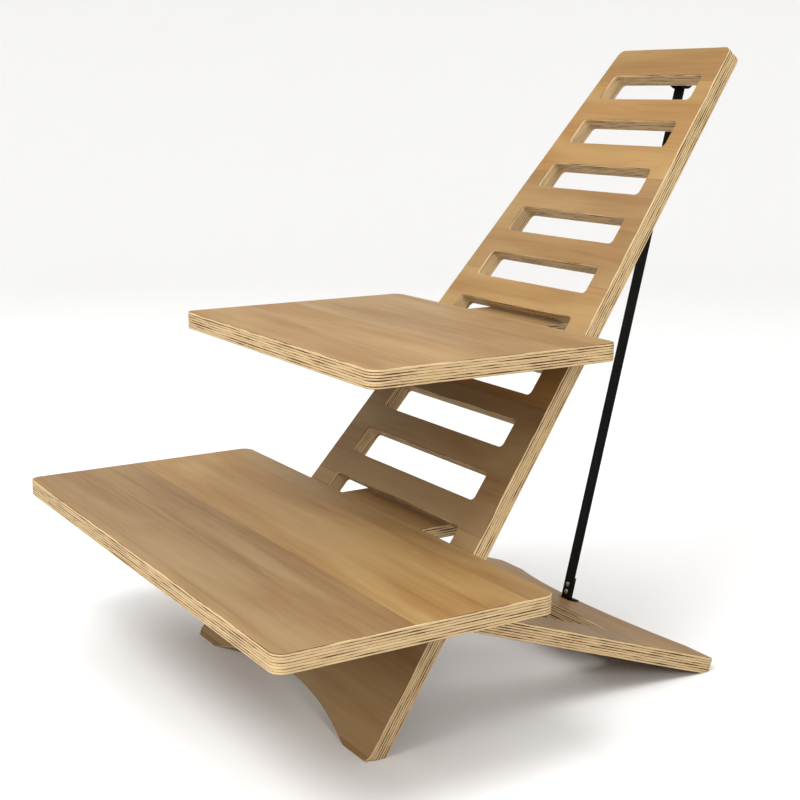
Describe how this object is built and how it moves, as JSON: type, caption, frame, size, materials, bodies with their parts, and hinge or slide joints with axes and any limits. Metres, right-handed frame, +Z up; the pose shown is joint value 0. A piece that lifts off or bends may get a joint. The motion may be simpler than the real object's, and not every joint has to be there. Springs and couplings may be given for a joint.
{
  "type": "laptop stand",
  "caption": "Desk-top standing desk converter in thick plywood: a leaning slotted back panel with a wide keyboard shelf, a narrower laptop shelf, a rear leg and a flat steel brace.",
  "frame": {"origin": "on the desk, under the middle of the stand's outline", "axes": "+X to the user's right, -Y towards the user, +Z up"},
  "size_m": [0.611, 0.6802, 0.6494],
  "materials": {
    "plywood": "satin lacquered hardwood plywood, layered edges",
    "black_steel": "satin black powder coat",
    "zinc_steel": "zinc plated"
  },
  "bodies": {
    "frame": {"back_panel": "plywood", "brace_bracket": "black_steel", "bracket_screws": "zinc_steel", "pivot_bolt": "zinc_steel", "pivot_nut": "zinc_steel", "pivot_washers": "zinc_steel"},
    "leg": {"rear_leg": "plywood"},
    "brace": {"brace_bar": "black_steel", "stop_cleat": "black_steel", "cleat_rivets": "zinc_steel"},
    "upper_shelf": {"laptop_shelf": "plywood"},
    "lower_shelf": {"keyboard_shelf": "plywood"}
  },
  "joints": [
    {"name": "leg_slide", "type": "slide", "parent": "frame", "child": "leg", "axis": [0, 0.9426, -0.3338], "range_m": [0, 0.045]},
    {"name": "brace_swing", "type": "hinge", "parent": "frame", "child": "brace", "pos_m": [0, 0.33109, 0.61509], "axis": [1, 0, 0], "range_deg": [0, 4.36]},
    {"name": "laptop_shelf_slide", "type": "slide", "parent": "frame", "child": "upper_shelf", "axis": [0, -1, 0], "range_m": [0, 0.045]},
    {"name": "keyboard_shelf_slide", "type": "slide", "parent": "frame", "child": "lower_shelf", "axis": [0, -1, 0], "range_m": [0, 0.045]}
  ],
  "couplings": [
    {"joint": "brace_swing", "follows": "leg_slide", "rad_per_m": 1.6148}
  ]
}
